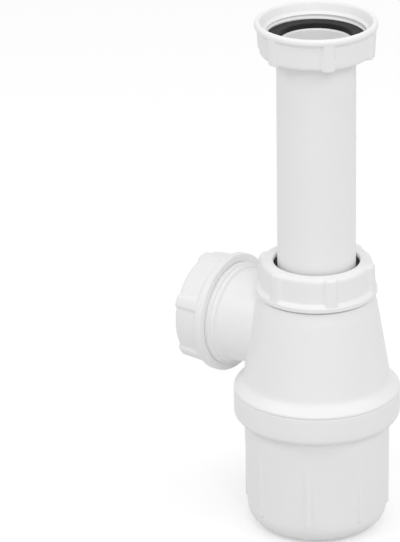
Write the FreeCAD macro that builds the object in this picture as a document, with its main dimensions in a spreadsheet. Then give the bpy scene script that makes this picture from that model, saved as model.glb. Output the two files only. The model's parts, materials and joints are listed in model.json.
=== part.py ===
"""Bottle trap for a wash basin: a dip tube in a conical body with a screwed cup.

Frame: +Z up along the tube, +Y along the outlet towards the wall, and the origin
at the centre of the cup's flat base. Lengths are in millimetres, angles in degrees.
"""
import os
from types import SimpleNamespace

import FreeCAD
import Part
import Sketcher

# Each driving size: alias, value and meaning
SIZES = (
    ("outlet_height", 83.4, "outlet axis above the base"),
    ("tube_rise", 127.3, "top of the tube's flange above the outlet axis"),
    ("tube_radius", 16.0, "outside of the dip tube and of the waste pipe"),
    ("tube_wall", 1.8, "wall of the dip tube"),
    ("tube_length", 193.3, "dip tube from flange to lower end"),
    ("tube_flange_width", 3.0, "flange past the tube's outside"),
    ("tube_flange_thickness", 2.9, "flange along the tube"),
    ("tube_flange_round", 0.8, "fillet under the flange"),
    ("washer_width", 3.3, "washer past the tube's outside"),
    ("washer_thickness", 2.3, "washer along the tube"),
    ("washer_step", 0.3, "washer's hole past the tube's inside"),
    ("washer_clearance", 0.5, "round the washer in the union nut"),
    ("neck_wall", 4.05, "neck from the tube's outside to its thread"),
    ("thread_clearance", 0.3, "between a nut's bore and its thread"),
    ("thread_engagement", 8.9, "thread that lies inside a compression nut"),
    ("nut_height", 13.9, "every nut along its axis"),
    ("nut_wall", 2.75, "nut's wall round its bore"),
    ("nut_draft", 0.4, "how much slimmer the nut is at its closed end"),
    ("nut_flange_width", 1.7, "flange past the nut's wall"),
    ("nut_flange_height", 1.6, "straight part of the nut's flange"),
    ("nut_flange_slope", 1.5, "sloped part of the nut's flange"),
    ("nut_end_wall", 2.1, "nut's closed end"),
    ("nut_hole_clearance", 1.6, "nut's hole past the tube's outside"),
    ("nut_mouth_width", 1.3, "compression nut's mouth past its bore"),
    ("nut_mouth_depth", 1.2, "depth of that mouth"),
    ("nut_end_round", 2.0, "rounding of the closed end"),
    ("nut_edge_round", 0.5, "rounding of the flange's edge"),
    ("lug_count", 6, "lugs round a nut"),
    ("lug_angle", 12.4, "width of a lug about the nut's axis"),
    ("lug_inset", 0.2, "lug's face inside the flange"),
    ("lug_draft", 0.7, "how much lower the lug is at the closed end"),
    ("lug_end_gap", 0.2, "lug's end short of the nut's end"),
    ("lug_root", 0.8, "depth of a lug's root in the wall"),
    ("lug_round", 0.6, "rounding of a lug's edges"),
    ("union_lead_in_width", 1.3, "union nut's mouth past its bore"),
    ("union_lead_in_depth", 3.2, "depth of that mouth"),
    ("union_thread_length", 3.0, "thread above the washer"),
    ("union_lip_round", 0.9, "rounding of the union nut's lip"),
    ("seat_gap", 0.2, "between flat faces of pieces that turn"),
    ("seal_clearance", 0.5, "between a seal and its tube"),
    ("seal_flange_inset", 0.75, "seal's flange inside the neck's thread"),
    ("seal_wedge_length", 3.5, "seal's wedge into the neck"),
    ("seal_wedge_gap", 0.35, "between the wedge and the neck's mouth"),
    ("seal_tip_wall", 0.45, "wall of the wedge's tip"),
    ("shelf_rise", 1.0, "shelf under the neck above the spigot's root"),
    ("neck_nut_gap", 1.3, "between that shelf and the neck nut"),
    ("neck_clearance", 0.5, "between the neck's bore and the tube"),
    ("neck_lip", 1.35, "wall left at the neck's mouth"),
    ("neck_mouth_depth", 6.0, "depth of the neck's tapered mouth"),
    ("neck_shelf_inset", 0.4, "cone's top edge inside the nut's flange"),
    ("shelf_round", 2.0, "rounding of the cone's top edge"),
    ("body_wall", 2.2, "wall of the cone and the shoulder"),
    ("cone_foot_drop", 1.2, "cone's foot below the lowest line of the spigot's root"),
    ("shoulder_width", 3.9, "shoulder from the cone's foot to the collar"),
    ("shoulder_fall", 3.8, "how far the shoulder slopes down"),
    ("shoulder_round", 0.9, "convex rounding of the shoulder"),
    ("shoulder_fillet", 3.0, "concave fillet at the cone's foot"),
    ("shoulder_side", 0.5, "shoulder's upright side down to the seam"),
    ("seam_gap", 0.5, "open seam above the cup's collar"),
    ("skirt_wall", 3.0, "body's skirt inside the collar"),
    ("spigot_stand", 6.5, "outer face of the spigot's shoulder ring past the collar"),
    ("spigot_ring_width", 2.3, "shoulder ring along the outlet"),
    ("spigot_ring_rise", 1.25, "shoulder ring past the thread"),
    ("spigot_ring_step", 2.0, "shoulder ring past the spigot's wall"),
    ("spigot_ring_slope", 1.6, "slope from the spigot's wall to the ring, along the outlet"),
    ("spigot_root_wall", 2.45, "spigot's wall inside the cone"),
    ("outlet_nut_gap", 0.3, "between the shoulder ring and the outlet nut"),
    ("socket_clearance", 0.25, "between the outlet's socket and its pipe"),
    ("socket_depth", 17.0, "socket from the spigot's end to its stop"),
    ("socket_stop", 1.5, "stop inside the socket"),
    ("collar_radius", 34.2, "outside of the cup's collar and the shoulder"),
    ("collar_wall", 2.35, "collar's wall"),
    ("collar_height", 11.9, "collar along the axis"),
    ("collar_floor", 1.7, "shelf at the collar's foot"),
    ("collar_top_round", 0.6, "rounding of the collar's upper edge"),
    ("collar_foot_round", 2.4, "rounding of the collar's lower edge"),
    ("collar_step", 4.1, "collar past the cup's wall"),
    ("cup_thread_clearance", 0.4, "between the collar and the skirt"),
    ("cup_wall", 2.0, "cup's wall and floor"),
    ("cup_draft", 1.55, "how much slimmer the cup is at its base"),
    ("cup_corner_round", 9.0, "outer rounding at the base"),
    ("gasket_thickness", 1.7, "cup's gasket"),
    ("gasket_clearance", 0.45, "round the gasket in the collar"),
    ("gasket_width", 2.9, "gasket from its hole to its rim"),
    ("rib_count", 8, "grip ribs round the cup"),
    ("rib_width", 2.4, "grip rib across"),
    ("rib_height", 0.74, "grip rib at its lower end"),
    ("rib_foot", 9.6, "rib's lower end above the base"),
    ("rib_length", 26.0, "grip rib along the cup, up to where the wall covers it"),
    ("rib_root", 0.8, "depth of a rib's root in the wall"),
    ("neck_nut_turn", 48.8, "where the neck nut's lugs stand about its axis"),
    ("inlet_nut_turn", 46.7, "where the union nut's lugs stand about its axis"),
    ("outlet_nut_turn", 23.5, "where the outlet nut's lugs stand about its axis"),
    ("cup_turn", 27.0, "where the cup's ribs stand about its axis"),
)
SAME_PLACE = 1e-4
FULL_TURN = 360.0
HALF_TURN = 180.0
QUARTER_TURN = 90.0
UP = FreeCAD.Vector(0, 0, 1)
ALONG_X = FreeCAD.Vector(1, 0, 0)
ALONG_Y = FreeCAD.Vector(0, 1, 0)


class Size:
    """A dimension with its expression over the sheet's cells and its present value."""

    def __init__(self, text, value):
        self.text = text
        self.value = value

    def joined(self, sign, other, value):
        return Size(f"({self.text} {sign} {as_size(other).text})", value)

    def __add__(self, other):
        return self.joined("+", other, self.value + as_size(other).value)

    def __sub__(self, other):
        return self.joined("-", other, self.value - as_size(other).value)

    def __mul__(self, other):
        return self.joined("*", other, self.value * as_size(other).value)

    def __truediv__(self, other):
        return self.joined("/", other, self.value / as_size(other).value)


def as_size(number):
    return number if isinstance(number, Size) else Size(str(number), number)


def fill_sheet(doc):
    """Writes the driving sizes to the sheet and returns them by name."""
    sheet = doc.addObject("Spreadsheet::Sheet", "Sizes")
    sizes = SimpleNamespace()
    for row, (alias, value, meaning) in enumerate(SIZES, start=1):
        sheet.set(f"A{row}", meaning)
        sheet.set(f"B{row}", str(value))
        sheet.setAlias(f"B{row}", alias)
        setattr(sizes, alias, Size(f"Sizes.{alias}", value))
    doc.recompute()
    return sizes


def origin_feature(body, role):
    return next(item for item in body.Origin.OriginFeatures if item.Role == role)


def place_point(sketch, line, across, up):
    """Fixes a line's start point at its two distances from the sketch's origin."""
    for kind, distance, axis in (("DistanceX", across, -2), ("DistanceY", up, -1)):
        size = as_size(distance)
        if size.value == 0:
            sketch.addConstraint(Sketcher.Constraint("PointOnObject", line, 1, axis))
            continue
        number = sketch.addConstraint(Sketcher.Constraint(kind, -1, 1, line, 1, size.value))
        sketch.setExpression(f"Constraints[{number}]", size.text)


def outline(body, name, plane, points):
    """Closed sketch of straight runs through points, each (across, up)."""
    sketch = body.newObject("Sketcher::SketchObject", name)
    sketch.AttachmentSupport = (origin_feature(body, plane), "")
    sketch.MapMode = "FlatFace"
    corners = [FreeCAD.Vector(as_size(across).value, as_size(up).value, 0) for across, up in points]
    count = len(corners)
    for line in range(count):
        sketch.addGeometry(Part.LineSegment(corners[line], corners[(line + 1) % count]), False)
    for line in range(count):
        sketch.addConstraint(Sketcher.Constraint("Coincident", line, 2, (line + 1) % count, 1))
    for line, (across, up) in enumerate(points):
        place_point(sketch, line, across, up)
    return sketch


def turned(body, name, sketch, axis, kind="Revolution"):
    """Revolves a sketch a full turn, to add material or, as a Groove, to cut it."""
    feature = body.newObject(f"PartDesign::{kind}", name)
    feature.Profile = sketch
    feature.ReferenceAxis = axis
    feature.Angle = FULL_TURN
    body.Document.recompute()
    return feature


def turned_about_z(body, name, points, kind="Revolution"):
    sketch = outline(body, f"{name}_outline", "XZ_Plane", points)
    return turned(body, name, sketch, (sketch, ["V_Axis"]), kind)


def repeated(body, name, feature, count):
    """Repeats a feature evenly about the body's Z axis."""
    pattern = body.newObject("PartDesign::PolarPattern", name)
    pattern.Originals = [feature]
    pattern.Axis = (origin_feature(body, "Z_Axis"), [""])
    pattern.Angle = FULL_TURN
    pattern.setExpression("Occurrences", count.text)
    body.Tip = pattern
    body.Document.recompute()
    return pattern


def rounded(body, name, base, edges, radius):
    if not edges:
        raise ValueError(f"{name} found no edge to round")
    feature = body.newObject("PartDesign::Fillet", name)
    feature.Base = (base, edges)
    feature.setExpression("Radius", radius.text)
    body.Document.recompute()
    return feature


def edges_where(feature, wanted):
    edges = enumerate(feature.Shape.Edges, start=1)
    return [f"Edge{number}" for number, edge in edges if wanted(edge)]


def ring_edges(feature, *rings):
    """Circular edges about Z, each given by its radius and height."""
    def wanted(edge):
        if not isinstance(edge.Curve, Part.Circle):
            return False
        radius, height = edge.Curve.Radius, edge.Curve.Center.z
        return any(abs(radius - ring.value) < SAME_PLACE and abs(height - up.value) < SAME_PLACE
                   for ring, up in rings)
    return edges_where(feature, wanted)


def new_body(doc, label):
    body = doc.addObject("PartDesign::Body", label)
    body.Label = label
    return body


def make_tube(doc, s):
    """Dip tube with the flange that carries the washer."""
    body = new_body(doc, "inlet_tube")
    top = s.outlet_height + s.tube_rise
    foot = top - s.tube_length
    inside = s.tube_radius - s.tube_wall
    rim = s.tube_radius + s.tube_flange_width
    under = top - s.tube_flange_thickness
    tube = turned_about_z(body, "tube", [
        (inside, foot), (s.tube_radius, foot), (s.tube_radius, under),
        (rim, under), (rim, top), (inside, top)])
    rounded(body, "flange_fillet", tube, ring_edges(tube, (s.tube_radius, under)), s.tube_flange_round)
    return body


def make_washer(doc, s):
    """Flat washer that lies on the tube's flange."""
    body = new_body(doc, "inlet_washer")
    low = s.outlet_height + s.tube_rise
    high = low + s.washer_thickness
    hole = s.tube_radius - s.tube_wall + s.washer_step
    rim = s.tube_radius + s.washer_width
    turned_about_z(body, "washer", [(hole, low), (rim, low), (rim, high), (hole, high)])
    return body


def nut_sizes(s):
    """Sizes that every nut shares, with its open end at height 0."""
    bore = s.tube_radius + s.neck_wall + s.thread_clearance
    wall = bore + s.nut_wall
    return SimpleNamespace(
        bore=bore,
        wall=wall,
        closed_wall=wall - s.nut_draft,
        flange=wall + s.nut_flange_width,
        flange_top=s.nut_flange_height + s.nut_flange_slope,
        hole=s.tube_radius + s.nut_hole_clearance,
        end_inside=s.nut_height - s.nut_end_wall)


def nut_outside(s, nut):
    """Outer outline from the closed end's hole to the open end's flange."""
    return [
        (nut.hole, s.nut_height), (nut.closed_wall, s.nut_height), (nut.wall, nut.flange_top),
        (nut.flange, s.nut_flange_height), (nut.flange, 0)]


def add_lugs(body, s, nut):
    """Lugs from the flange to the closed end, with their edges rounded."""
    low = s.nut_flange_height
    high = s.nut_height - s.lug_end_gap
    face = nut.flange - s.lug_inset
    end_face = face - s.lug_draft
    sketch = outline(body, "lug_outline", "XZ_Plane", [
        (nut.closed_wall - s.lug_root, low), (face, low), (end_face, high),
        (nut.closed_wall - s.lug_root, high)])
    lug = body.newObject("PartDesign::Revolution", "lug")
    lug.Profile = sketch
    lug.ReferenceAxis = (sketch, ["V_Axis"])
    lug.Midplane = True
    lug.setExpression("Angle", s.lug_angle.text)
    body.Document.recompute()
    lugs = repeated(body, "lugs", lug, s.lug_count)
    middle = (s.nut_flange_height.value + s.nut_height.value) / 2
    between = (end_face.value + nut.wall.value) / 2

    def corner(edge):
        point = edge.CenterOfMass
        outside = point.x ** 2 + point.y ** 2 > between ** 2
        upright = abs(point.z - middle) < s.nut_wall.value and isinstance(edge.Curve, Part.Line)
        end = abs(point.z - high.value) < SAME_PLACE
        return outside and (upright or end)

    rounded(body, "lug_rounds", lugs, edges_where(lugs, corner), s.lug_round)


def make_compression_nut(doc, s, label):
    """Nut that presses a seal ring onto the tube or the waste pipe."""
    body = new_body(doc, label)
    nut = nut_sizes(s)
    mouth = nut.bore + s.nut_mouth_width
    ring = turned_about_z(body, "nut", nut_outside(s, nut) + [
        (mouth, 0), (nut.bore, s.nut_mouth_depth), (nut.bore, nut.end_inside),
        (nut.hole, nut.end_inside)])
    end = rounded(body, "end_round", ring, ring_edges(ring, (nut.closed_wall, s.nut_height)), s.nut_end_round)
    rounded(body, "edge_round", end, ring_edges(end, (nut.flange, as_size(0))), s.nut_edge_round)
    add_lugs(body, s, nut)
    return body


def make_union_nut(doc, s):
    """Nut that draws the tube's flange and washer against the basin's waste."""
    body = new_body(doc, "inlet_nut")
    nut = nut_sizes(s)
    mouth = nut.bore + s.union_lead_in_width
    seat = s.tube_radius + s.washer_width + s.washer_clearance
    thread_end = s.union_lead_in_depth + s.union_thread_length
    ring = turned_about_z(body, "nut", nut_outside(s, nut) + [
        (mouth, 0), (nut.bore, s.union_lead_in_depth), (nut.bore, thread_end),
        (seat, thread_end), (seat, nut.end_inside), (nut.hole, nut.end_inside)])
    end = rounded(body, "end_round", ring, ring_edges(ring, (nut.closed_wall, s.nut_height)), s.nut_end_round)
    rounded(body, "lip_round", end, ring_edges(end, (nut.flange, as_size(0))), s.union_lip_round)
    add_lugs(body, s, nut)
    return body


def make_seal(doc, s, label):
    """Seal ring with a flange on the neck's rim and a wedge into its mouth."""
    body = new_body(doc, label)
    hole = s.tube_radius + s.seal_clearance
    thread = s.tube_radius + s.neck_wall
    wedge = thread - s.neck_lip - s.seal_wedge_gap
    rim = thread - s.seal_flange_inset
    seat = s.thread_engagement + s.seat_gap
    top = s.nut_height - s.nut_end_wall - s.seat_gap
    tip = seat - s.seal_wedge_length
    turned_about_z(body, "seal", [
        (hole, tip), (hole + s.seal_tip_wall, tip), (wedge, seat), (rim, seat), (rim, top), (hole, top)])
    return body


def outlet_passage(s):
    """Radius of the waterway behind the socket's stop."""
    return s.tube_radius + s.socket_clearance - s.socket_stop


def spigot_root(s):
    """Radius of the spigot at its inner end, inside the cone."""
    return outlet_passage(s) + s.spigot_root_wall


def spigot_reach(s):
    """Outer face of the spigot's shoulder ring from the tube's axis."""
    return s.collar_radius + s.spigot_stand


def shelf_height(s):
    return s.outlet_height + spigot_root(s) + s.shelf_rise


def cone_foot_height(s):
    return s.outlet_height - spigot_root(s) - s.cone_foot_drop


def seam_height(s):
    return cone_foot_height(s) - s.shoulder_fall - s.shoulder_side


def cup_top(s):
    return seam_height(s) - s.seam_gap


def cup_shelf(s):
    """Height of the cup's inner shelf, which carries the gasket."""
    return cup_top(s) - s.collar_height + s.collar_floor


def make_trap_body(doc, s):
    """Cone with its neck, shoulder and skirt, and the outlet spigot at its side."""
    body = new_body(doc, "trap_body")
    thread = s.tube_radius + s.neck_wall
    shelf = shelf_height(s)
    neck_top = shelf + s.neck_nut_gap + s.thread_engagement
    cone_top = nut_sizes(s).flange - s.neck_shelf_inset
    cone_foot = s.collar_radius - s.shoulder_width
    foot = cone_foot_height(s)
    shoulder = foot - s.shoulder_fall
    seam = seam_height(s)
    skirt = s.collar_radius - s.collar_wall - s.cup_thread_clearance
    skirt_end = cup_shelf(s) + s.seat_gap + s.gasket_thickness + s.seat_gap
    outside = turned_about_z(body, "outside", [
        (0, skirt_end), (skirt, skirt_end), (skirt, seam), (s.collar_radius, seam),
        (s.collar_radius, shoulder), (cone_foot, foot), (cone_top, shelf), (thread, shelf),
        (thread, neck_top), (0, neck_top)])
    convex = rounded(body, "shoulder_round", outside,
                     ring_edges(outside, (s.collar_radius, shoulder)), s.shoulder_round)
    concave = rounded(body, "shoulder_fillet", convex,
                      ring_edges(convex, (cone_foot, foot)), s.shoulder_fillet)
    rounded(body, "shelf_round", concave, ring_edges(concave, (cone_top, shelf)), s.shelf_round)
    add_spigot(body, s, thread)
    hollow_body(body, s, SimpleNamespace(
        thread=thread, shelf=shelf, neck_top=neck_top, cone_top=cone_top, cone_foot=cone_foot,
        foot=foot, skirt=skirt, skirt_end=skirt_end))
    return body


def outlet_outline(body, name, s, points):
    """Sketch across the outlet, with its axis, from points (along, radius)."""
    raised = [(along, s.outlet_height + radius) for along, radius in points]
    sketch = outline(body, name, "YZ_Plane", raised)
    axis_end = points[-1][0]
    height = s.outlet_height.value
    start = FreeCAD.Vector(0, height, 0)
    end = FreeCAD.Vector(as_size(axis_end).value, height, 0)
    line = sketch.addGeometry(Part.LineSegment(start, end), True)
    place_point(sketch, line, 0, s.outlet_height)
    sketch.addConstraint(Sketcher.Constraint("Horizontal", line))
    length = sketch.addConstraint(Sketcher.Constraint("Distance", line, (end - start).Length))
    sketch.setExpression(f"Constraints[{length}]", as_size(axis_end).text)
    return sketch


def add_spigot(body, s, thread):
    """Outlet spigot that widens from the cone to its shoulder ring, then the thread."""
    reach = spigot_reach(s)
    ring = thread + s.spigot_ring_rise
    ring_start = reach - s.spigot_ring_width
    end = reach + s.outlet_nut_gap + s.thread_engagement
    inner_end = s.tube_radius
    sketch = outlet_outline(body, "spigot_outline", s, [
        (inner_end, 0), (inner_end, spigot_root(s)),
        (ring_start - s.spigot_ring_slope, ring - s.spigot_ring_step), (ring_start, ring),
        (reach, ring), (reach, thread), (end, thread), (end, 0)])
    turned(body, "spigot", sketch, (sketch, ["Axis0"]))


def hollow_body(body, s, at):
    """Cuts the cone's inside, the neck's bore and the outlet's socket."""
    bore = s.tube_radius + s.neck_clearance
    mouth = at.thread - s.neck_lip
    ceiling = at.shelf - s.body_wall
    skirt_inside = at.skirt - s.skirt_wall
    turned_about_z(body, "hollow", [
        (0, at.skirt_end), (skirt_inside, at.skirt_end), (skirt_inside, at.foot - s.shoulder_fall),
        (at.cone_foot - s.body_wall, at.foot), (at.cone_top - s.body_wall, ceiling), (bore, ceiling),
        (bore, at.neck_top - s.neck_mouth_depth), (mouth, at.neck_top), (0, at.neck_top)], "Groove")
    end = spigot_reach(s) + s.outlet_nut_gap + s.thread_engagement
    socket = s.tube_radius + s.socket_clearance
    passage = outlet_passage(s)
    stop = end - s.socket_depth
    taper = end - s.neck_mouth_depth
    sketch = outlet_outline(body, "socket_outline", s, [
        (s.tube_radius, 0), (s.tube_radius, passage), (stop, passage), (stop, socket),
        (taper, socket), (end, mouth), (end, 0)])
    turned(body, "socket", sketch, (sketch, ["Axis0"]), "Groove")


def make_cup(doc, s):
    """Cup with the collar that screws onto the body's skirt, and grip ribs."""
    body = new_body(doc, "cup")
    top = cup_top(s)
    foot = top - s.collar_height
    shelf = cup_shelf(s)
    radius = s.collar_radius - s.collar_step
    base = radius - s.cup_draft
    inside = radius - s.cup_wall
    base_inside = base - s.cup_wall
    collar_inside = s.collar_radius - s.collar_wall
    shell = turned_about_z(body, "shell", [
        (0, 0), (base, 0), (radius, foot), (s.collar_radius, foot), (s.collar_radius, top),
        (collar_inside, top), (collar_inside, shelf), (inside, shelf),
        (base_inside, s.cup_wall), (0, s.cup_wall)])
    outer = rounded(body, "corner_round", shell, ring_edges(shell, (base, as_size(0))), s.cup_corner_round)
    inner = rounded(body, "inner_corner_round", outer, ring_edges(outer, (base_inside, s.cup_wall)),
                    s.cup_corner_round - s.cup_wall)
    lower = rounded(body, "collar_foot_round", inner,
                    ring_edges(inner, (s.collar_radius, foot)), s.collar_foot_round)
    rounded(body, "collar_top_round", lower, ring_edges(lower, (s.collar_radius, top)), s.collar_top_round)
    add_ribs(body, s, base + s.cup_draft / foot * s.rib_foot)
    return body


def add_ribs(body, s, low_wall):
    """Grip ribs with an upright face, which the cup's draft leaves proud at their lower end."""
    low = s.rib_foot
    high = low + s.rib_length
    rib = body.newObject("PartDesign::Pad", "rib")
    rib.Profile = outline(body, "rib_outline", "XZ_Plane", [
        (low_wall - s.rib_root, low), (low_wall + s.rib_height, low), (low_wall + s.rib_height, high),
        (low_wall - s.rib_root, high)])
    rib.SideType = "Symmetric"
    rib.setExpression("Length", s.rib_width.text)
    body.Document.recompute()
    repeated(body, "ribs", rib, s.rib_count)


def make_gasket(doc, s):
    """Flat gasket on the cup's shelf, under the body's skirt."""
    body = new_body(doc, "cup_seal")
    low = cup_shelf(s) + s.seat_gap
    high = low + s.gasket_thickness
    rim = s.collar_radius - s.collar_wall - s.gasket_clearance
    hole = rim - s.gasket_width
    turned_about_z(body, "gasket", [(hole, low), (rim, low), (rim, high), (hole, high)])
    return body


def stand_on_axis(body, turn, height, upside_down=False):
    """Places a body on the tube's axis, turned about it, with its open end at height."""
    if upside_down:
        half_turn = FreeCAD.Rotation(UP, turn.value / 2).multVec(ALONG_X)
        spin = FreeCAD.Rotation(half_turn, HALF_TURN)
    else:
        spin = FreeCAD.Rotation(UP, turn.value)
    body.Placement = FreeCAD.Placement(FreeCAD.Vector(0, 0, height.value), spin)
    body.setExpression("Placement.Base.z", height.text)


def lie_on_outlet(body, turn, s, along):
    """Places a body on the outlet's axis, turned about it, with its open end at along."""
    lying = FreeCAD.Rotation(ALONG_X, -QUARTER_TURN)
    spin = FreeCAD.Rotation(ALONG_Y, turn.value).multiply(lying)
    body.Placement = FreeCAD.Placement(FreeCAD.Vector(0, along.value, s.outlet_height.value), spin)
    body.setExpression("Placement.Base.y", along.text)
    body.setExpression("Placement.Base.z", s.outlet_height.text)


def check(doc, bodies):
    """Stops if any object failed or any piece isn't one valid solid."""
    failed = [item.Name for item in doc.Objects if {"Invalid", "Error"} & set(item.State)]
    if failed:
        raise RuntimeError("failed: " + ", ".join(failed))
    for body in bodies:
        shape = body.Shape
        if shape.isNull() or not shape.isValid() or len(shape.Solids) != 1:
            raise RuntimeError(body.Label + " isn't one valid solid")


def main():
    doc = FreeCAD.newDocument("bottle_trap")
    s = fill_sheet(doc)
    neck_nut_height = shelf_height(s) + s.neck_nut_gap
    outlet_nut_reach = spigot_reach(s) + s.outlet_nut_gap
    flange_under = s.outlet_height + s.tube_rise - s.tube_flange_thickness
    union_top = flange_under - s.seat_gap - s.nut_end_wall + s.nut_height

    neck_nut = make_compression_nut(doc, s, "neck_nut")
    neck_seal = make_seal(doc, s, "neck_seal")
    stand_on_axis(neck_nut, s.neck_nut_turn, neck_nut_height)
    stand_on_axis(neck_seal, s.neck_nut_turn, neck_nut_height)

    outlet_nut = make_compression_nut(doc, s, "outlet_nut")
    outlet_seal = make_seal(doc, s, "outlet_seal")
    lie_on_outlet(outlet_nut, s.outlet_nut_turn, s, outlet_nut_reach)
    lie_on_outlet(outlet_seal, s.outlet_nut_turn, s, outlet_nut_reach)

    inlet_nut = make_union_nut(doc, s)
    stand_on_axis(inlet_nut, s.inlet_nut_turn, union_top, upside_down=True)

    cup = make_cup(doc, s)
    stand_on_axis(cup, s.cup_turn, as_size(0))

    bodies = [
        make_tube(doc, s), make_washer(doc, s), inlet_nut, make_trap_body(doc, s), neck_nut, neck_seal,
        outlet_nut, outlet_seal, cup, make_gasket(doc, s)]
    doc.recompute()
    check(doc, bodies)
    os.makedirs("parts", exist_ok=True)
    for body in bodies:
        body.Shape.exportStep(f"parts/{body.Label}.step")


main()
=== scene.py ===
"""Looks of the bottle trap: mouldings with threads, lugs and ribs, in satin plastic and rubber.

Sizes are in millimetres until a mesh is made, and angles in degrees where their names end in
_DEG. Meshes are in metres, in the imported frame: +Z up along the dip tube, +Y along the outlet,
and the origin at the centre of the cup's base.
"""
import json
import math
from typing import NamedTuple

import bmesh
import bpy
from mathutils import Matrix, Vector


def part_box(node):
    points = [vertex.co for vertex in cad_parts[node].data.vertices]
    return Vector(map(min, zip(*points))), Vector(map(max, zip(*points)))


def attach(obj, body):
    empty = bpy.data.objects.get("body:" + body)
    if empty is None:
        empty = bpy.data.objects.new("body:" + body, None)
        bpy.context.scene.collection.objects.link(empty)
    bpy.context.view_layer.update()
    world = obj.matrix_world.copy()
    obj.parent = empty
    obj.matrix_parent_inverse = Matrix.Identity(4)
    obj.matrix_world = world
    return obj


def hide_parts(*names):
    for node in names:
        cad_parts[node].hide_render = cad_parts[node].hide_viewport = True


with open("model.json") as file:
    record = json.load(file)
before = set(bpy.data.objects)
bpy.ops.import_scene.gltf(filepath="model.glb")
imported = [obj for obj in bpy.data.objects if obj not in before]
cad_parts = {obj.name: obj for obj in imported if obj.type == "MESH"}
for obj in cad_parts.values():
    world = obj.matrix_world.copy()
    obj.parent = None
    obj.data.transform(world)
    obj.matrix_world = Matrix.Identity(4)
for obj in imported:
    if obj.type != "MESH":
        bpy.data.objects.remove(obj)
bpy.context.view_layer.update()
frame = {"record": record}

MM = 0.001
ON_AXIS = 1e-6
NEAR = 1e-3
TURN_DEG = 360
ARC_STEP = math.radians(12)
SHARP_ANGLE = math.radians(38)

# Steps round a ring, and round lugs and ribs: on half a side, on a face and between them
RING_COLUMNS = 180
SIDE_STEPS = 2
FACE_STEPS = 4
GAP_STEP_DEG = 1.6

# Nuts, with the open end at height 0
NUT_HEIGHT = 13.9
OUTLET_NUT_HEIGHT = 14.8
NUT_FLANGE = 24.8
NUT_FLANGE_TOP = 3.2
OUTLET_FLANGE_TOP = 4.4
NUT_FLANGE_SLOPE = 1.4
NUT_FLANGE_ROUND = 0.6
NUT_WALL = 23.1
NUT_WALL_ROUND = 0.7
NUT_WALL_SPACING = 0.7
NUT_CLOSED_WALL = 22.7
NUT_END_ROUND = 2.0
NUT_END_INSIDE = 11.8
NUT_INSIDE_ROUND = 0.4
NUT_HOLE = 17.6
NUT_HOLE_ROUND = 0.9
NUT_RIM_ROUND = 0.35
NUT_MOUTH = 21.65
NUT_MOUTH_DEPTH = 1.2
NUT_MOUTH_ROUND = 0.3
NUT_THREAD_STOP = 0.5
UNION_FLANGE_TOP = 3.6
UNION_LIP_ROUND = 1.5
UNION_MOUTH = 22.65
UNION_MOUTH_ROUND = 1.2
UNION_LEDGE = 21.2
UNION_LEDGE_DEPTH = 3.4
UNION_LEDGE_ROUND = 0.5
UNION_EDGE = 20.0
UNION_EDGE_DEPTH = 4.5
UNION_EDGE_ROUND = 0.25
UNION_GROOVE = 20.2
UNION_THREAD_LOW = 4.9
UNION_DEPTH = 0.5
UNION_THREAD_START = 0.756
UNION_THREAD_END = 9.4
UNION_SEAT = 19.8
LUG_COUNT = 6
LUG_HALF_DEG = 6.2
LUG_SIDE_DEG = 1.6
LUG_FACE = 24.6
LUG_END_FACE = 23.9
LUG_START = 1.6
LUG_RISE = 1.45
UNION_LUG_RISE = 2.0
LUG_INSIDE = 20.95
NECK_NUT_TURN_DEG = 48.8
INLET_NUT_TURN_DEG = 46.7
OUTLET_NUT_TURN_DEG = 23.5

# Pipe thread of the nuts, neck and outlet, and the coarse thread of the cup
PIPE_PITCH = 2.309
PIPE_DEPTH = 1.3
NUT_GROOVE = 20.9
NECK_ROOT = 19.4
NECK_DEPTH = 1.15
CUP_PITCH = 3.0
CUP_GROOVE = 32.15
SKIRT_ROOT = 31.0
CUP_DEPTH = 0.8
THREAD_SPACING = 0.3
THREAD_RUN_OUT = 0.8
THREAD_MARGIN = 0.2
NECK_THREAD_MARGIN = 0.4
CUP_THREAD_SPACING = 0.4
CUP_THREAD_LEAD = 0.8
CUP_THREAD_STOP = 1.0
# Where a ridge's flank starts and ends, as shares of half a pitch
FLANK_START = 0.2
FLANK_END = 0.8

# Dip tube, washer and seals
TUBE_OUTSIDE = 16.0
TUBE_INSIDE = 14.2
TUBE_FLANGE = 19.0
TUBE_FLANGE_THICKNESS = 2.9
TUBE_FLANGE_ROUND = 0.4
TUBE_FILLET = 0.8
TUBE_MOUTH_ROUND = 0.6
TUBE_FOOT_ROUND = 0.6
TUBE_FOOT_INSIDE_ROUND = 0.3
TUBE_SPACING = 12.0
WASHER_HOLE = 14.8
WASHER_RIM = 20.0
WASHER_ROUND = 0.35
SEAL_HOLE = 16.15
SEAL_TIP = 5.6
SEAL_TIP_RADIUS = 16.9
SEAL_SEAT = 9.1
SEAL_WEDGE = 18.35
SEAL_RIM = 19.3
SEAL_TOP = 11.6
SEAL_TIP_ROUND = 0.2
SEAL_SEAT_ROUND = 0.1
SEAL_RIM_ROUND = 0.3
SEAL_TOP_ROUND = 0.4
SEAL_LIP_ROUND = 0.5
GASKET_HOLE = 28.5
GASKET_ROUND = 0.3

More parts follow.
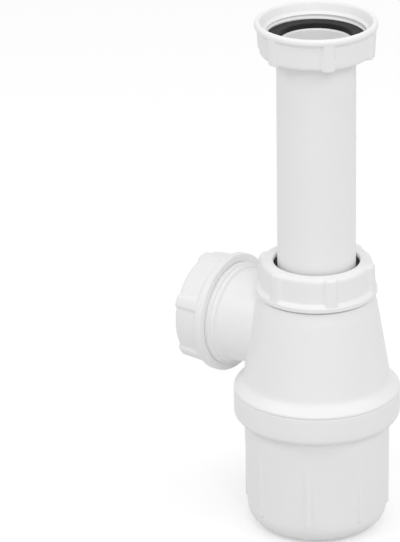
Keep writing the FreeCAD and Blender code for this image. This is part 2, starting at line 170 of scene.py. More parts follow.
# Trap body
SKIRT = 31.45
SKIRT_INSIDE = 28.45
SKIRT_END = 52.1
SKIRT_INSIDE_SPACING = 3.0
SEAM = 60.28
SEAM_ROUND = 0.3
COLLAR = 34.2
SHOULDER = 61.2
SHOULDER_ROUND = 1.4
SHOULDER_SPACING = 0.5
INSIDE_SHOULDER = 63.8
INSIDE_SHOULDER_ROUND = 1.0
CONE_FOOT = 30.3
CONE_FOOT_HEIGHT = 65.0
CONE_FOOT_FILLET = 3.0
INSIDE_CONE_FOOT = 27.6
INSIDE_CONE_FOOT_HEIGHT = 67.5
CONE_TOP = 24.95
CONE_TOP_HEIGHT = 97.2
CONE_TOP_ROUND = 8.0
SHELF_EDGE = 23.6
SHELF = 102.0
SHELF_ROUND = 0.5
INSIDE_CONE_TOP = 22.2
INSIDE_CEILING = 99.4
INSIDE_CEILING_ROUND = 0.3
NECK = 20.05
NECK_TOP = 111.8
NECK_BORE = 16.5
NECK_MOUTH = 18.7
NECK_MOUTH_DEPTH = 6.0
SPIGOT_INNER = 16.0
SPIGOT_ROOT = 17.2
SPIGOT_WALL_END = 36.2
SPIGOT_WALL = 19.2
SPIGOT_FOOT = 19.5
SPIGOT_FOOT_END = 36.9
SPIGOT_STEP = 20.55
SPIGOT_STEP_START = 37.5
SPIGOT_STEP_END = 38.8
SPIGOT_STEP_FILLET = 0.4
SPIGOT_RING = 21.58
SPIGOT_RING_START = 39.2
SPIGOT_ROUND = 0.6
SPIGOT_REACH = 40.97
SPIGOT_REACH_ROUND = 0.15
SPIGOT_SEAT = 20.9
SPIGOT_SEAT_END = 42.05
SPIGOT_END = 49.9
PASSAGE = 14.75
SOCKET_STOP = 32.9
SOCKET = 16.25
SOCKET_ROUND = 0.2
SOCKET_MOUTH_SPACING = 1.0
BORE_SPACING = 2.0
BODY_COLUMNS = 240

# Windows in the body's skins, from low to high, where the outlet branches off
OUTSIDE_WINDOW = (63.0, 101.3)
INSIDE_WINDOW = (66.0, 99.0)
OUTSIDE_BLEND = 0.45
INSIDE_BLEND = 0.4
WINDOW_HALF_DEG = 46.5
WINDOW_ROWS = 44
WINDOW_RINGS = 16
BLEND_RINGS = 5
WALL_RINGS = 8
HALVINGS = 40

# Cup
CUP_BASE = 28.55
CUP_RADIUS = 30.1
CUP_WALL = 2.0
CUP_CORNER = 9.0
CUP_SPACING = 0.45
CUP_INSIDE_SPACING = 4.0
CUP_SHELF = 50.0
CUP_SHELF_ROUND = 0.5
COLLAR_FOOT = 48.3
COLLAR_FOOT_ROUND = 2.4
COLLAR_FOOT_FILLET = 0.3
COLLAR_TOP = 60.2
COLLAR_TOP_ROUND = 0.7
COLLAR_SPACING = 2.0
COLLAR_INSIDE = 31.85
COLLAR_INSIDE_ROUND = 0.4
RIB_COUNT = 8
RIB_TURN_DEG = 27.0
RIB_HALF_DEG = 2.2
RIB_SIDE_DEG = 0.5
RIB_FOOT = 9.6
RIB_FOOT_ROUND = 0.45
RIB_FACE = 29.8
GATE_RADIUS = 2.2
GATE_DEPTH = 0.35
GATE_ROUND = 0.15
GATE_EDGE_ROUND = 0.3

# Materials: colours, roughness and gloss, and the strength and depth in metres of their relief
PLASTIC_DARK = (0.915, 0.916, 0.913)
PLASTIC_PALE = (0.94, 0.94, 0.937)
PLASTIC_ROUGHNESS = (0.36, 0.5)
PLASTIC_RELIEF = (0.12, 0.00004)
PLASTIC_GLOSS = 0.4
RUBBER_DARK = (0.008, 0.008, 0.008)
RUBBER_PALE = (0.02, 0.02, 0.021)
RUBBER_ROUGHNESS = (0.5, 0.75)
RUBBER_RELIEF = (0.25, 0.00005)
RUBBER_GLOSS = 0.3

# Noise of the materials: features per metre, and detail
PLASTIC_MOTTLE = (45, 3)
PLASTIC_SHEEN = (300, 4)
PLASTIC_GRAIN = (2600, 2)
RUBBER_DUST = (500, 5)
RUBBER_GRAIN = (1800, 3)

# Camera, in metres and degrees, with its lens in millimetres
EYE_AIM = Vector((0, 0, 0.05555))
EYE_DISTANCE = 1.8
EYE_AZIMUTH_DEG = -55.8
EYE_ELEVATION_DEG = 24.32
EYE_YAW_DEG = 1.5302
EYE_PITCH_DEG = 1.6414
EYE_ROLL_DEG = -0.0811
EYE_LENS = 290.08

mounts = {mount["name"]: mount for mount in frame["record"]["mounts"]}
OUTLET_HEIGHT = mounts["outlet_socket"]["pos_m"][2] / MM


class Corner(NamedTuple):
    """Corner of a profile, its rounding, and the row spacing of the run that follows it."""
    radius: float
    height: float
    bend: float = 0.0
    spacing: float = 0.0

    @property
    def point(self):
        return Vector((self.radius, self.height))


class Lamp(NamedTuple):
    """Disc lamp that looks at the object from a direction, with its diameter in metres and watts."""
    name: str
    azimuth_deg: float
    elevation_deg: float
    size: float
    power: float


class Thread(NamedTuple):
    """Right-handed thread on a profile's run at a radius, with its phase set at height start."""
    run: float
    root: float
    depth: float
    pitch: float
    low: float
    high: float
    start: float
    inside: bool


def smooth(low, high, value):
    share = min(1.0, max(0.0, (value - low) / (high - low)))
    return share * share * (3 - 2 * share)


def mixed(first, second, share):
    return first + (second - first) * share


def arc(before, corner, after):
    """Points that round a corner between its neighbours."""
    here = corner.point
    back = (before.point - here).normalized()
    ahead = (after.point - here).normalized()
    half = back.angle(ahead) / 2
    centre = here + (back + ahead).normalized() * corner.bend / math.sin(half)
    reach = corner.bend / math.tan(half)
    first = here + back * reach - centre
    last = here + ahead * reach - centre
    turn = math.copysign(math.pi - 2 * half, first.cross(last))
    steps = max(2, math.ceil(abs(turn) / ARC_STEP))
    return [centre + Matrix.Rotation(turn * step / steps, 2) @ first for step in range(steps + 1)]


def divided(start, end, spacing):
    """Points between start and end, without them, at most spacing apart."""
    count = math.ceil((end - start).length / spacing) if spacing else 1
    return [start.lerp(end, step / count) for step in range(1, count)]


def path(corners, closed=True):
    """Points of a profile (radius, height) through its rounded corners."""
    count = len(corners)
    runs = []
    for index, corner in enumerate(corners):
        is_end = not closed and index in (0, count - 1)
        if corner.bend and not is_end:
            runs.append(arc(corners[index - 1], corner, corners[(index + 1) % count]))
        else:
            runs.append([corner.point])
    points = []
    for index, run in enumerate(runs):
        points += run
        if closed or index < count - 1:
            points += divided(run[-1], runs[(index + 1) % count][0], corners[index].spacing)
    return points


def even_angles(count):
    return [math.tau * step / count for step in range(count)]


def feature_angles(count, half_deg, side_deg, turn_deg):
    """Angles about an axis that are close at the sides of evenly repeated lugs or ribs."""
    spread = [step / SIDE_STEPS for step in range(-SIDE_STEPS, SIDE_STEPS + 1)]
    rising = [-half_deg + side_deg * share for share in spread]
    falling = [half_deg + side_deg * share for share in spread]
    face = [mixed(rising[-1], falling[0], step / FACE_STEPS) for step in range(1, FACE_STEPS)]
    gap_end = TURN_DEG / count + rising[0]
    gap_steps = math.ceil((gap_end - falling[-1]) / GAP_STEP_DEG)
    gap = [mixed(falling[-1], gap_end, step / gap_steps) for step in range(1, gap_steps)]
    once = rising + face + falling + gap
    return [math.radians(turn_deg + TURN_DEG * number / count + offset)
            for number in range(count) for offset in once]


def cover(angle, count, half_deg, side_deg, turn_deg):
    """1 on the face of a repeated lug or rib and 0 between, with soft sides."""
    pitch = TURN_DEG / count
    offset = abs((math.degrees(angle) - turn_deg + pitch / 2) % pitch - pitch / 2)
    return 1 - smooth(half_deg - side_deg, half_deg + side_deg, offset)


def threaded(thread, angle, radius, height):
    """Radius of a threaded run at an angle and height, or the given radius off that run."""
    on_run = abs(radius - thread.run) < NEAR and thread.low <= height <= thread.high
    if not on_run:
        return radius
    phase = ((height - thread.start) / thread.pitch - angle / math.tau) % 1
    ridge = smooth(FLANK_START, FLANK_END, 1 - abs(2 * phase - 1))
    run_out = (smooth(thread.low, thread.low + THREAD_RUN_OUT, height)
               * (1 - smooth(thread.high - THREAD_RUN_OUT, thread.high, height)))
    if thread.inside:
        return thread.root - thread.depth * ridge * run_out
    return thread.root + thread.depth * (1 - ridge) * run_out


def strip(first, second):
    """Faces between two rings of vertex numbers, either of which may be a single point."""
    count = max(len(first), len(second))
    faces = []
    for here in range(count):
        there = (here + 1) % count
        if len(first) == 1:
            faces.append((first[0], second[here], second[there]))
        elif len(second) == 1:
            faces.append((first[here], first[there], second[0]))
        else:
            faces.append((first[here], first[there], second[there], second[here]))
    return faces


def lathe(points, angles, relief=None, closed=True):
    """Vertices and faces of a profile turned about Z; relief gives each point's final radius."""
    vertices = []
    rings = []
    for radius, height in points:
        start = len(vertices)
        if radius < ON_AXIS:
            vertices.append((0, 0, height))
        else:
            for angle in angles:
                shown = relief(angle, radius, height) if relief else radius
                vertices.append((shown * math.cos(angle), shown * math.sin(angle), height))
        rings.append(list(range(start, len(vertices))))
    pairs = list(zip(rings, rings[1:]))
    if closed:
        pairs.append((rings[-1], rings[0]))
    faces = [face for first, second in pairs for face in strip(first, second)]
    return vertices, faces


def moulding(node, body, slot, shape, place=None):
    """Makes a closed mesh from a shape in millimetres and lets it stand for a CAD node."""
    vertices, faces = shape
    place = place or Matrix()
    mesh = bpy.data.meshes.new(node + "_moulding")
    mesh.from_pydata([(place @ Vector(vertex)) * MM for vertex in vertices], [], faces)
    shell = bmesh.new()
    shell.from_mesh(mesh)
    bmesh.ops.recalc_face_normals(shell, faces=shell.faces)
    if shell.calc_volume(signed=True) < 0:
        bmesh.ops.reverse_faces(shell, faces=shell.faces)
    shell.to_mesh(mesh)
    shell.free()
    mesh.shade_smooth()
    mesh.set_sharp_from_angle(angle=SHARP_ANGLE)
    piece = bpy.data.objects.new(node + "_moulding", mesh)
    bpy.context.scene.collection.objects.link(piece)
    piece.data.materials.append(MATERIALS[slot])
    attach(piece, body)
    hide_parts(node)


def nut_outside(length, flange_top):
    """Corners from the closed end's hole to the outer edge of the open end."""
    return [
        Corner(NUT_HOLE, length, NUT_HOLE_ROUND),
        Corner(NUT_CLOSED_WALL, length, NUT_END_ROUND, NUT_WALL_SPACING),
        Corner(NUT_WALL, flange_top, NUT_WALL_ROUND),
        Corner(NUT_FLANGE, flange_top - NUT_FLANGE_SLOPE, NUT_FLANGE_ROUND),
    ]


def nut_shape(corners, thread, turn_deg, lug_rise):
    """Nut with lugs on its wall and a thread in its bore."""
    def relief(angle, radius, height):
        bore_limit = mixed(UNION_MOUTH, LUG_INSIDE, height / NUT_HEIGHT)
        if radius < bore_limit or height < LUG_START:
            return threaded(thread, angle, radius, height)
        share = (height - LUG_START) / (NUT_HEIGHT - LUG_START)
        rise = min(lug_rise, max(0.0, mixed(LUG_FACE, LUG_END_FACE, share) - radius))
        return radius + rise * cover(angle, LUG_COUNT, LUG_HALF_DEG, LUG_SIDE_DEG, turn_deg)

    angles = feature_angles(LUG_COUNT, LUG_HALF_DEG, LUG_SIDE_DEG, turn_deg)
    return lathe(path(corners), angles, relief)


def compression_nut(turn_deg, length, flange_top):
    corners = nut_outside(length, flange_top) + [
        Corner(NUT_FLANGE, 0, NUT_RIM_ROUND),
        Corner(NUT_MOUTH, 0, NUT_MOUTH_ROUND),
        Corner(NUT_GROOVE, NUT_MOUTH_DEPTH, 0, THREAD_SPACING),
        Corner(NUT_GROOVE, NUT_END_INSIDE, NUT_INSIDE_ROUND),
        Corner(NUT_HOLE, NUT_END_INSIDE, NUT_INSIDE_ROUND),
    ]
    thread = Thread(NUT_GROOVE, NUT_GROOVE, PIPE_DEPTH, PIPE_PITCH,
                    NUT_MOUTH_DEPTH, NUT_END_INSIDE - NUT_THREAD_STOP, 0, True)
    return nut_shape(corners, thread, turn_deg, LUG_RISE)


def union_nut(turn_deg):
    corners = nut_outside(NUT_HEIGHT, UNION_FLANGE_TOP) + [
        Corner(NUT_FLANGE, 0, UNION_LIP_ROUND),
        Corner(UNION_MOUTH, 0, UNION_MOUTH_ROUND),
        Corner(UNION_LEDGE, UNION_LEDGE_DEPTH, UNION_LEDGE_ROUND),
        Corner(UNION_EDGE, UNION_EDGE_DEPTH, UNION_EDGE_ROUND),
        Corner(UNION_GROOVE, UNION_THREAD_LOW, 0, THREAD_SPACING),
        Corner(UNION_GROOVE, UNION_THREAD_END),
        Corner(UNION_SEAT, UNION_THREAD_END),
        Corner(UNION_SEAT, NUT_END_INSIDE, NUT_INSIDE_ROUND),
        Corner(NUT_HOLE, NUT_END_INSIDE, NUT_INSIDE_ROUND),
    ]
    thread = Thread(UNION_GROOVE, UNION_GROOVE, UNION_DEPTH, PIPE_PITCH,
                    UNION_THREAD_LOW, UNION_THREAD_END, UNION_THREAD_START, True)
    return nut_shape(corners, thread, turn_deg, UNION_LUG_RISE)


def seal_ring():
    corners = [
        Corner(SEAL_HOLE, SEAL_TIP, SEAL_TIP_ROUND),
        Corner(SEAL_TIP_RADIUS, SEAL_TIP, SEAL_TIP_ROUND),
        Corner(SEAL_WEDGE, SEAL_SEAT, SEAL_SEAT_ROUND),
        Corner(SEAL_RIM, SEAL_SEAT, SEAL_RIM_ROUND),
        Corner(SEAL_RIM, SEAL_TOP, SEAL_TOP_ROUND),
        Corner(SEAL_HOLE, SEAL_TOP, SEAL_LIP_ROUND),
    ]
    return lathe(path(corners), even_angles(RING_COLUMNS))


def tube_shape(low, high):
    under = high - TUBE_FLANGE_THICKNESS
    corners = [
        Corner(TUBE_INSIDE, low, TUBE_FOOT_INSIDE_ROUND),
        Corner(TUBE_OUTSIDE, low, TUBE_FOOT_ROUND, TUBE_SPACING),
        Corner(TUBE_OUTSIDE, under, TUBE_FILLET),
        Corner(TUBE_FLANGE, under, TUBE_FLANGE_ROUND),
        Corner(TUBE_FLANGE, high, TUBE_FLANGE_ROUND),
        Corner(TUBE_INSIDE, high, TUBE_MOUTH_ROUND, TUBE_SPACING),
    ]
    return lathe(path(corners), even_angles(RING_COLUMNS))


def flat_ring(hole, rim, low, high, bend):
    corners = [
        Corner(hole, low, bend), Corner(rim, low, bend),
        Corner(rim, high, bend), Corner(hole, high, bend)]
    return lathe(path(corners), even_angles(RING_COLUMNS))


def cup_shape():
    """Cup with a rounded foot, grip ribs, and a collar with its thread inside."""
    thread_top = COLLAR_TOP - CUP_THREAD_LEAD
    corners = [
        Corner(0, GATE_DEPTH),
        Corner(GATE_RADIUS, GATE_DEPTH, GATE_ROUND),
        Corner(GATE_RADIUS + GATE_DEPTH, 0, GATE_EDGE_ROUND),
        Corner(CUP_BASE, 0, CUP_CORNER, CUP_SPACING),
        Corner(CUP_RADIUS, COLLAR_FOOT, COLLAR_FOOT_FILLET),
        Corner(COLLAR, COLLAR_FOOT, COLLAR_FOOT_ROUND, COLLAR_SPACING),
        Corner(COLLAR, COLLAR_TOP, COLLAR_TOP_ROUND),
        Corner(COLLAR_INSIDE, COLLAR_TOP, COLLAR_INSIDE_ROUND),
        Corner(COLLAR_INSIDE, thread_top, 0, CUP_THREAD_SPACING),
        Corner(COLLAR_INSIDE, CUP_SHELF, COLLAR_INSIDE_ROUND),
        Corner(CUP_RADIUS - CUP_WALL, CUP_SHELF, CUP_SHELF_ROUND, CUP_INSIDE_SPACING),
        Corner(CUP_BASE - CUP_WALL, CUP_WALL, CUP_CORNER - CUP_WALL),
        Corner(0, CUP_WALL),
    ]
    thread = Thread(COLLAR_INSIDE, CUP_GROOVE, CUP_DEPTH, CUP_PITCH,
                    CUP_SHELF + CUP_THREAD_STOP, thread_top, 0, True)

    def relief(angle, radius, height):
        if radius > CUP_BASE and RIB_FOOT - RIB_FOOT_ROUND <= height < COLLAR_FOOT:
            rise = max(0.0, RIB_FACE - radius)
            foot = smooth(RIB_FOOT - RIB_FOOT_ROUND, RIB_FOOT, height)
            return radius + rise * foot * cover(angle, RIB_COUNT, RIB_HALF_DEG, RIB_SIDE_DEG,
                                                RIB_TURN_DEG)
        return threaded(thread, angle, radius, height)

    angles = feature_angles(RIB_COUNT, RIB_HALF_DEG, RIB_SIDE_DEG, RIB_TURN_DEG)
    return lathe(path(corners, closed=False), angles, relief, closed=False)


def radius_at(profile, height):
    """Radius of a rising profile at a height."""
    for first, second in zip(profile, profile[1:]):
        if first.y <= height <= second.y and second.y - first.y > NEAR:
            return mixed(first.x, second.x, (height - first.y) / (second.y - first.y))
    raise ValueError(f"the profile has no point at height {height}")


class Branch(NamedTuple):
    """Round branch along +Y: its tapered wall, the points (along, radius) after it, and its blend."""
    start: float
    start_radius: float
    wall_end: float
    wall_radius: float
    after: list
    blend: float

    def radius(self, along):
        return mixed(self.start_radius, self.wall_radius,
                     (along - self.start) / (self.wall_end - self.start))

    def point(self, turn, along, radius):
        return Vector((radius * math.cos(turn), along, OUTLET_HEIGHT + radius * math.sin(turn)))


def on_skin(profile, across, height):
    """Point of the turned skin's +Y side at a distance across and a height."""
    radius = radius_at(profile, height)
    return Vector((across, math.sqrt(radius ** 2 - across ** 2), height))


def meeting(profile, branch, turn):
    """How far along the branch's wall it leaves the turned skin, at a turn about the branch."""
    low, high = branch.start, branch.wall_end
    for _ in range(HALVINGS):
        along = (low + high) / 2
        radius = branch.radius(along)
        point = branch.point(turn, along, radius)
        if on_skin(profile, point.x, point.z).y > along:
            low = along
        else:
            high = along
    return (low + high) / 2


def branch_rings(profile, branch, rim, thread):
    """Rings of points from the window's rim over the skin, the blend and the branch."""
    turns = [math.atan2(point.z - OUTLET_HEIGHT, point.x) for point in rim]
    leaves = [meeting(profile, branch, turn) for turn in turns]
    corners = [branch.point(turn, along, branch.radius(along)) for turn, along in zip(turns, leaves)]
    starts = []
    ends = []
    for turn, along in zip(turns, leaves):
        wide = branch.point(turn, along, branch.radius(along) + branch.blend)
        starts.append(on_skin(profile, wide.x, wide.z))
        ends.append(branch.point(turn, along + branch.blend, branch.radius(along + branch.blend)))
    rings = []
    for step in range(1, WINDOW_RINGS + 1):
        share = step / WINDOW_RINGS
        flat = [first.lerp(last, share) for first, last in zip(rim, starts)]
        rings.append([on_skin(profile, point.x, point.z) for point in flat])
    for step in range(1, BLEND_RINGS + 1):
        share = step / BLEND_RINGS
        rings.append([first.lerp(corner, share).lerp(corner.lerp(last, share), share)
                      for first, corner, last in zip(starts, corners, ends)])
    for step in range(1, WALL_RINGS + 1):
        ring = []
        for turn, end in zip(turns, ends):
            along = mixed(end.y, branch.wall_end, step / WALL_RINGS)
            ring.append(branch.point(turn, along, branch.radius(along)))
        rings.append(ring)
    for radius, along in branch.after:
        ring = []
        for turn in turns:
            shown = threaded(thread, -turn, radius, along) if thread else radius
            ring.append(branch.point(turn, along, shown))
        rings.append(ring)
    return rings


def branched_skin(profile, window, branch, relief=None, branch_thread=None):
    """Skin turned about Z with a branch along +Y; relief gives each point's final radius.

    Returns its vertices, its faces and its three open rims: foot, top and branch end.
    """
    low, high = window
    below = [point for point in profile if point.y < low - NEAR]
    above = [point for point in profile if point.y > high + NEAR]
    heights = [mixed(low, high, step / WINDOW_ROWS) for step in range(WINDOW_ROWS + 1)]
    rows = below + [Vector((radius_at(profile, height), height)) for height in heights] + above
    first_row, last_row = len(below), len(below) + WINDOW_ROWS
    angles = even_angles(BODY_COLUMNS)
    quarter = BODY_COLUMNS // 4
    reach = round(WINDOW_HALF_DEG / TURN_DEG * BODY_COLUMNS)
    first_column, last_column = quarter - reach, quarter + reach

    vertices = []
    numbers = {}
    for row, (radius, height) in enumerate(rows):
        for column, angle in enumerate(angles):
            if first_row < row < last_row and first_column < column < last_column:
                continue
            shown = relief(angle, radius, height) if relief else radius
            numbers[row, column] = len(vertices)
            vertices.append(Vector((shown * math.cos(angle), shown * math.sin(angle), height)))
    faces = []
    for row in range(len(rows) - 1):
        for column in range(BODY_COLUMNS):
            if first_row <= row < last_row and first_column <= column < last_column:
                continue
            beside = (column + 1) % BODY_COLUMNS
            faces.append((numbers[row, column], numbers[row, beside],
                          numbers[row + 1, beside], numbers[row + 1, column]))

    rim = [numbers[first_row, column] for column in range(first_column, last_column)]
    rim += [numbers[row, last_column] for row in range(first_row, last_row)]
    rim += [numbers[last_row, column] for column in range(last_column, first_column, -1)]
    rim += [numbers[row, first_column] for row in range(last_row, first_row, -1)]
    inner = rim
    for ring in branch_rings(profile, branch, [vertices[number] for number in rim], branch_thread):
        outer = list(range(len(vertices), len(vertices) + len(ring)))
        vertices += ring
        faces += strip(inner, outer)
        inner = outer
    foot = [numbers[0, column] for column in range(BODY_COLUMNS)]
    top = [numbers[len(rows) - 1, column] for column in range(BODY_COLUMNS)]
    return vertices, faces, (foot, top, inner)


def body_outside():
    """Outer skin with its threads on the neck, the skirt and the spigot."""
    neck_thread = Thread(NECK, NECK_ROOT, NECK_DEPTH, PIPE_PITCH,
                         SHELF + NECK_THREAD_MARGIN, NECK_TOP - THREAD_MARGIN, NECK_NUT_OPEN, False)
    skirt_thread = Thread(SKIRT, SKIRT_ROOT, CUP_DEPTH, CUP_PITCH,
                          SKIRT_END + THREAD_MARGIN, SEAM - THREAD_MARGIN, 0, False)
    spigot_thread = Thread(NECK, NECK_ROOT, NECK_DEPTH, PIPE_PITCH,
                           SPIGOT_SEAT_END + THREAD_MARGIN, SPIGOT_END - THREAD_MARGIN,
                           OUTLET_NUT_OPEN, False)
    corners = [
        Corner(SKIRT, SKIRT_END, 0, CUP_THREAD_SPACING),
        Corner(SKIRT, SEAM),
        Corner(COLLAR, SEAM, SEAM_ROUND),
        Corner(COLLAR, SHOULDER, SHOULDER_ROUND, SHOULDER_SPACING),
        Corner(CONE_FOOT, CONE_FOOT_HEIGHT, CONE_FOOT_FILLET),
        Corner(CONE_TOP, CONE_TOP_HEIGHT, CONE_TOP_ROUND),
        Corner(SHELF_EDGE, SHELF, SHELF_ROUND),
        Corner(NECK, SHELF, 0, THREAD_SPACING),
        Corner(NECK, NECK_TOP),
    ]
    after = path([
        Corner(SPIGOT_WALL, SPIGOT_WALL_END),
        Corner(SPIGOT_FOOT, SPIGOT_FOOT_END, SPIGOT_ROUND),
        Corner(SPIGOT_STEP, SPIGOT_STEP_START, SPIGOT_ROUND),
        Corner(SPIGOT_STEP, SPIGOT_STEP_END, SPIGOT_STEP_FILLET),
        Corner(SPIGOT_RING, SPIGOT_RING_START, SPIGOT_ROUND),
        Corner(SPIGOT_RING, SPIGOT_REACH, SPIGOT_REACH_ROUND),
        Corner(SPIGOT_SEAT, SPIGOT_SEAT_END),
        Corner(NECK, SPIGOT_SEAT_END, 0, THREAD_SPACING),
        Corner(NECK, SPIGOT_END),
    ], closed=False)[1:]
    branch = Branch(SPIGOT_INNER, SPIGOT_ROOT, SPIGOT_WALL_END, SPIGOT_WALL, after, OUTSIDE_BLEND)

    def relief(angle, radius, height):
        return threaded(skirt_thread, angle, threaded(neck_thread, angle, radius, height), height)

    return branched_skin(path(corners, closed=False), OUTSIDE_WINDOW, branch, relief, spigot_thread)


def body_inside():
    """Inner skin: the hollow, the neck's bore, and the outlet's passage and socket."""
    corners = [
        Corner(SKIRT_INSIDE, SKIRT_END, 0, SKIRT_INSIDE_SPACING),
        Corner(SKIRT_INSIDE, INSIDE_SHOULDER, INSIDE_SHOULDER_ROUND),
        Corner(INSIDE_CONE_FOOT, INSIDE_CONE_FOOT_HEIGHT, INSIDE_SHOULDER_ROUND),
        Corner(INSIDE_CONE_TOP, INSIDE_CEILING, INSIDE_CEILING_ROUND),
        Corner(NECK_BORE, INSIDE_CEILING, 0, BORE_SPACING),
        Corner(NECK_BORE, NECK_TOP - NECK_MOUTH_DEPTH),
        Corner(NECK_MOUTH, NECK_TOP),
    ]
    after = path([
        Corner(PASSAGE, SOCKET_STOP),
        Corner(SOCKET, SOCKET_STOP, SOCKET_ROUND, BORE_SPACING),
        Corner(SOCKET, SPIGOT_END - NECK_MOUTH_DEPTH, 0, SOCKET_MOUTH_SPACING),
        Corner(NECK_MOUTH, SPIGOT_END),
    ], closed=False)[1:]
    branch = Branch(SPIGOT_INNER, PASSAGE, SOCKET_STOP, PASSAGE, after, INSIDE_BLEND)
    return branched_skin(path(corners, closed=False), INSIDE_WINDOW, branch)


def body_shape():
    """Closed shell of the trap body, from its outer and inner skins and the rims between them."""
    vertices, faces, outer_rims = body_outside()
    inner_vertices, inner_faces, inner_rims = body_inside()
    offset = len(vertices)
    vertices = vertices + inner_vertices
    faces = faces + [tuple(number + offset for number in face) for face in inner_faces]
    for outer, inner in zip(outer_rims, inner_rims):
        faces += strip(outer, [number + offset for number in inner])
    return vertices, faces


def new_material(name):
    material = bpy.data.materials.new(name)
    material.use_nodes = True
    nodes = material.node_tree.nodes
    return material, nodes, material.node_tree.links, nodes["Principled BSDF"]


def noise(nodes, links, scale, detail):
    """Noise over the object's own coordinates, in features per metre."""
    place = nodes.new("ShaderNodeTexCoord")
    texture = nodes.new("ShaderNodeTexNoise")
    texture.inputs["Scale"].default_value = scale
    texture.inputs["Detail"].default_value = detail
    links.new(place.outputs["Object"], texture.inputs["Vector"])
    return texture.outputs["Fac"]


def between(nodes, links, share, low, high):
    """A number from low to high as share goes from 0 to 1."""
    scale = nodes.new("ShaderNodeMapRange")
    scale.inputs["To Min"].default_value = low
    scale.inputs["To Max"].default_value = high
    links.new(share, scale.inputs["Value"])
    return scale.outputs["Result"]


def shade(nodes, links, share, low, high):
    """A colour from low to high as share goes from 0 to 1."""
    ramp = nodes.new("ShaderNodeValToRGB")
    ramp.color_ramp.elements[0].color = (*low, 1)
    ramp.color_ramp.elements[1].color = (*high, 1)
    links.new(share, ramp.inputs["Fac"])
    return ramp.outputs["Color"]


def bump(nodes, links, share, strength, distance):
    relief = nodes.new("ShaderNodeBump")
    relief.inputs["Strength"].default_value = strength
    relief.inputs["Distance"].default_value = distance
    links.new(share, relief.inputs["Height"])
    return relief.outputs["Normal"]


def satin_plastic():
    """White polypropylene with a faint mottle and a fine moulded grain."""
    material, nodes, links, shader = new_material("satin_plastic")
    mottle = noise(nodes, links, *PLASTIC_MOTTLE)
    sheen = noise(nodes, links, *PLASTIC_SHEEN)
    grain = noise(nodes, links, *PLASTIC_GRAIN)
    links.new(shade(nodes, links, mottle, PLASTIC_DARK, PLASTIC_PALE), shader.inputs["Base Color"])
    links.new(between(nodes, links, sheen, *PLASTIC_ROUGHNESS), shader.inputs["Roughness"])
    links.new(bump(nodes, links, grain, *PLASTIC_RELIEF), shader.inputs["Normal"])
    shader.inputs["Specular IOR Level"].default_value = PLASTIC_GLOSS
    return material


def black_rubber():
    """Black rubber with a dull, slightly dusty skin."""
    material, nodes, links, shader = new_material("black_rubber")
    dust = noise(nodes, links, *RUBBER_DUST)
    grain = noise(nodes, links, *RUBBER_GRAIN)
    links.new(shade(nodes, links, dust, RUBBER_DARK, RUBBER_PALE), shader.inputs["Base Color"])
    links.new(between(nodes, links, dust, *RUBBER_ROUGHNESS), shader.inputs["Roughness"])
    links.new(bump(nodes, links, grain, *RUBBER_RELIEF), shader.inputs["Normal"])
    shader.inputs["Specular IOR Level"].default_value = RUBBER_GLOSS
    return material


def seen_directly(nodes, links):
    """1 for camera, glossy and transmission rays, which see the backdrop, and 0 for light."""
    light_path = nodes.new("ShaderNodeLightPath")
    total = light_path.outputs["Is Camera Ray"]
    for ray in ("Is Glossy Ray", "Is Transmission Ray"):
        either = nodes.new("ShaderNodeMath")
        either.operation = "MAXIMUM"
        links.new(total, either.inputs[0])
        links.new(light_path.outputs[ray], either.inputs[1])
        total = either.outputs["Value"]
    return total


def make_world():
    """Even white sky as the light, and plain white where it is seen."""
    world = bpy.data.worlds.new("studio")
    bpy.context.scene.world = world
    world.use_nodes = True
    nodes, links = world.node_tree.nodes, world.node_tree.links
    light = nodes["Background"]
    light.inputs["Color"].default_value = (1, 1, 1, 1)
    light.inputs["Strength"].default_value = SKY_STRENGTH
    white = nodes.new("ShaderNodeBackground")
    white.inputs["Color"].default_value = (1, 1, 1, 1)
    mix = nodes.new("ShaderNodeMixShader")
    links.new(seen_directly(nodes, links), mix.inputs["Fac"])
    links.new(light.outputs["Background"], mix.inputs[1])
    links.new(white.outputs["Background"], mix.inputs[2])
    links.new(mix.outputs["Shader"], nodes["World Output"].inputs["Surface"])


def make_floor():
    """Pale floor that looks white where it is lit, keeps the shadow and goes down with the cup."""
    material = bpy.data.materials.new("floor")
    material.use_nodes = True
    nodes, links = material.node_tree.nodes, material.node_tree.links
    nodes.clear()
    pale = nodes.new("ShaderNodeBsdfDiffuse")
    pale.inputs["Color"].default_value = (FLOOR_SHADE, FLOOR_SHADE, FLOOR_SHADE, 1)
    lift = nodes.new("ShaderNodeEmission")
    links.new(seen_directly(nodes, links), lift.inputs["Strength"])
    lift.inputs["Color"].default_value = (FLOOR_LIFT, FLOOR_LIFT, FLOOR_LIFT, 1)
    both = nodes.new("ShaderNodeAddShader")
    links.new(pale.outputs["BSDF"], both.inputs[0])
    links.new(lift.outputs["Emission"], both.inputs[1])
    output = nodes.new("ShaderNodeOutputMaterial")
    links.new(both.outputs["Shader"], output.inputs["Surface"])

    half = FLOOR_SIZE / 2
    mesh = bpy.data.meshes.new("floor")
    mesh.from_pydata([(-half, -half, FLOOR_DROP), (half, -half, FLOOR_DROP),
                      (half, half, FLOOR_DROP), (-half, half, FLOOR_DROP)], [], [(0, 1, 2, 3)])
    floor = bpy.data.objects.new("floor", mesh)
    bpy.context.scene.collection.objects.link(floor)
    mesh.materials.append(material)
    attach(floor, "cup")


def direction_to(azimuth_deg, elevation_deg):
    """Unit vector from the object towards a lamp or the camera."""
    azimuth, elevation = math.radians(azimuth_deg), math.radians(elevation_deg)
    return Vector((math.sin(azimuth) * math.cos(elevation),
                   -math.cos(azimuth) * math.cos(elevation), math.sin(elevation)))


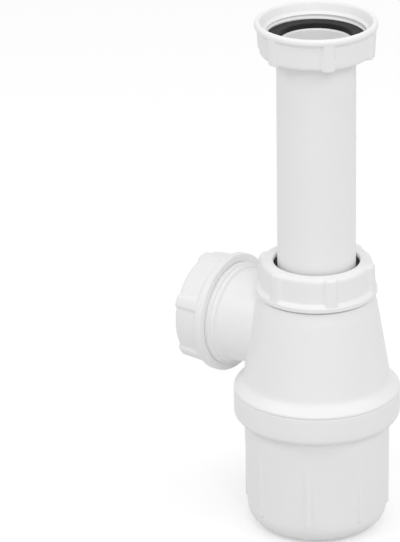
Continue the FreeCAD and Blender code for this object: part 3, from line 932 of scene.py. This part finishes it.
def make_lamp(lamp):
    back = direction_to(lamp.azimuth_deg, lamp.elevation_deg)
    light = bpy.data.lights.new(lamp.name, "AREA")
    light.shape = "DISK"
    light.size = lamp.size
    light.energy = lamp.power
    disc = bpy.data.objects.new(lamp.name, light)
    bpy.context.scene.collection.objects.link(disc)
    disc.location = LAMP_AIM + back * LAMP_DISTANCE
    disc.rotation_euler = back.to_track_quat("Z", "Y").to_euler()


def make_camera():
    back = direction_to(EYE_AZIMUTH_DEG, EYE_ELEVATION_DEG)
    right = Vector((0, 0, 1)).cross(back).normalized()
    up = back.cross(right)
    level = Matrix((right, up, back)).transposed().to_4x4()
    aside = (Matrix.Rotation(math.radians(EYE_YAW_DEG), 4, "Y")
             @ Matrix.Rotation(math.radians(EYE_PITCH_DEG), 4, "X")
             @ Matrix.Rotation(math.radians(EYE_ROLL_DEG), 4, "Z"))
    lens = bpy.data.cameras.new("camera")
    lens.lens = EYE_LENS
    camera = bpy.data.objects.new("camera", lens)
    bpy.context.scene.collection.objects.link(camera)
    camera.matrix_world = Matrix.Translation(EYE_AIM + back * EYE_DISTANCE) @ level @ aside
    bpy.context.scene.camera = camera


# Light and floor, with lengths in metres
SKY_STRENGTH = 0.6
LAMP_AIM = Vector((0, 0, 0.12))
LAMP_DISTANCE = 1.6
LAMPS = (
    Lamp("front_lamp", -47.0, 35.0, 0.5, 3.6),
    Lamp("left_lamp", -120.0, 45.0, 0.6, 3.4),
    Lamp("right_lamp", 8.0, 43.0, 0.6, 3.0),
    Lamp("top_lamp", -56.0, 88.0, 1.0, 3.2),
)
FLOOR_SHADE = 0.7
FLOOR_LIFT = 0.41
FLOOR_SIZE = 12.0
FLOOR_DROP = -0.0002

MATERIALS = {"white_plastic": satin_plastic(), "black_rubber": black_rubber()}
NECK_NUT_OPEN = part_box("neck_nut")[0].z / MM
INLET_NUT_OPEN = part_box("inlet_nut")[1].z / MM
OUTLET_NUT_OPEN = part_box("outlet_nut")[0].y / MM
TUBE_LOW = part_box("inlet_tube")[0].z / MM
WASHER_LOW, WASHER_HIGH = (corner.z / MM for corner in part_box("inlet_washer"))
GASKET_LOW, GASKET_HIGH = (corner.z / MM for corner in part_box("cup_seal"))
GASKET_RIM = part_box("cup_seal")[1].x / MM

on_neck = Matrix.Translation((0, 0, NECK_NUT_OPEN))
on_outlet = (Matrix.Translation((0, OUTLET_NUT_OPEN, OUTLET_HEIGHT))
             @ Matrix.Rotation(-math.pi / 2, 4, "X"))
upside_down = Matrix.Translation((0, 0, INLET_NUT_OPEN)) @ Matrix.Rotation(math.pi, 4, "X")

moulding("trap_body", "trap_body", "white_plastic", body_shape())
moulding("cup", "cup", "white_plastic", cup_shape())
moulding("inlet_tube", "inlet_tube", "white_plastic", tube_shape(TUBE_LOW, WASHER_LOW))
moulding("inlet_nut", "inlet_nut", "white_plastic", union_nut(-INLET_NUT_TURN_DEG), upside_down)
moulding("neck_nut", "neck_nut", "white_plastic",
         compression_nut(NECK_NUT_TURN_DEG, NUT_HEIGHT, NUT_FLANGE_TOP), on_neck)
moulding("outlet_nut", "outlet_nut", "white_plastic",
         compression_nut(OUTLET_NUT_TURN_DEG, OUTLET_NUT_HEIGHT, OUTLET_FLANGE_TOP), on_outlet)
moulding("inlet_washer", "inlet_tube", "black_rubber",
         flat_ring(WASHER_HOLE, WASHER_RIM, WASHER_LOW, WASHER_HIGH, WASHER_ROUND))
moulding("neck_seal", "neck_seal", "black_rubber", seal_ring(), on_neck)
moulding("outlet_seal", "outlet_seal", "black_rubber", seal_ring(), on_outlet)
moulding("cup_seal", "cup_seal", "black_rubber",
         flat_ring(GASKET_HOLE, GASKET_RIM, GASKET_LOW, GASKET_HIGH, GASKET_ROUND))

make_world()
for lamp in LAMPS:
    make_lamp(lamp)
make_floor()
make_camera()
bpy.context.scene.view_settings.view_transform = "Standard"
